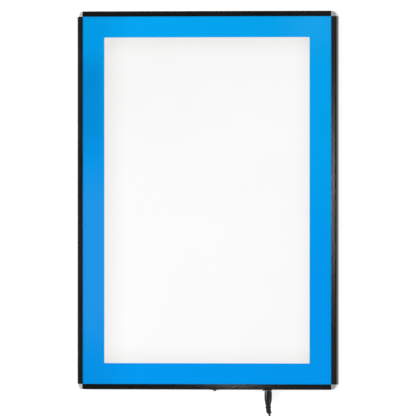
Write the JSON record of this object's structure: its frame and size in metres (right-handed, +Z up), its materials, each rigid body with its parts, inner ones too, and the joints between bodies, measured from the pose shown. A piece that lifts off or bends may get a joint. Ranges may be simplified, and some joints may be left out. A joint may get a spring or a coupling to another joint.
{
  "type": "light table",
  "caption": "Slim edge-lit light table: lit opal sheet in a blue border, black rails with bright corner pieces, and a plug-in low-voltage lead with its adapter.",
  "frame": {"origin": "on the surface the table stands on, at the middle of its footprint with the jack's nose included and without the lead", "axes": "+Z up out of the lit face, +X along the short side to the right, +Y along the long side away from the jack's rail"},
  "size_m": [0.3528, 0.6055, 0.045],
  "materials": {
    "rail_black": "black anodised, satin",
    "corner_silver": "bright satin, rounded edges",
    "screw_black": "blackened",
    "foot_rubber": "matte",
    "wire_red": "smooth insulation",
    "wire_black": "smooth insulation",
    "back_grey": "mill finish sheet",
    "reflector_white": "matte white film",
    "guide_acrylic": "polished clear acrylic",
    "diffuser_white": "frosted",
    "opal_lit": "opal acrylic, lit from behind",
    "border_blue": "glossy printed film",
    "led_board_white": "white solder mask",
    "jack_black": "moulded",
    "contact_nickel": "nickel plated",
    "plug_black": "moulded, satin",
    "cord_black": "smooth PVC jacket",
    "tie_black": "matte strap",
    "adapter_black": "fine texture",
    "board_green": "solder mask",
    "ferrite_grey": "matte ferrite"
  },
  "bodies": {
    "panel": {"rail_left": "rail_black", "rail_right": "rail_black", "rail_top": "rail_black", "rail_bottom": "rail_black", "corner_bottom_left": "corner_silver", "corner_bottom_right": "corner_silver", "corner_top_right": "corner_silver", "corner_top_left": "corner_silver", "screw_left_a": "screw_black", "screw_left_b": "screw_black", "screw_bottom_a": "screw_black", "screw_bottom_b": "screw_black", "screw_right_a": "screw_black", "screw_right_b": "screw_black", "screw_top_a": "screw_black", "screw_top_b": "screw_black", "back_plate": "back_grey", "reflector_sheet": "reflector_white", "light_guide": "guide_acrylic", "diffuser_sheet": "diffuser_white", "cover_sheet": "opal_lit", "border_film": "border_blue", "led_strip_left": "led_board_white", "led_strip_right": "led_board_white", "wire_left_positive": "wire_red", "wire_left_negative": "wire_black", "wire_right_positive": "wire_red", "wire_right_negative": "wire_black", "jack_housing": "jack_black", "jack_pin": "contact_nickel", "jack_spring_contact": "contact_nickel", "switch_housing": "jack_black", "switch_terminal_a": "contact_nickel", "switch_terminal_b": "contact_nickel", "foot_bottom_left": "foot_rubber", "foot_bottom_right": "foot_rubber", "foot_top_right": "foot_rubber", "foot_top_left": "foot_rubber"},
    "power_lead": {"plug_body": "plug_black", "plug_barrel": "contact_nickel", "plug_insulator": "plug_black", "plug_inner_contact": "contact_nickel", "cord_lead": "cord_black", "cord_coil": "cord_black", "cord_tie": "tie_black", "cord_tail": "cord_black", "adapter_cover": "adapter_black", "adapter_base": "adapter_black", "adapter_blade_a": "contact_nickel", "adapter_blade_b": "contact_nickel", "adapter_cord_grip": "plug_black", "adapter_board": "board_green", "adapter_transformer": "ferrite_grey"},
    "push_button": {"switch_button": "jack_black", "switch_spring": "contact_nickel"}
  },
  "joints": [
    {"name": "plug_pull", "type": "slide", "parent": "panel", "child": "power_lead", "axis": [0, -1, 0], "range_m": [0, 0.012]},
    {"name": "switch_press", "type": "slide", "parent": "panel", "child": "push_button", "axis": [0, 1, 0], "range_m": [0, 0.001], "stiffness_N_per_m": 400, "springref_m": -0.003}
  ]
}
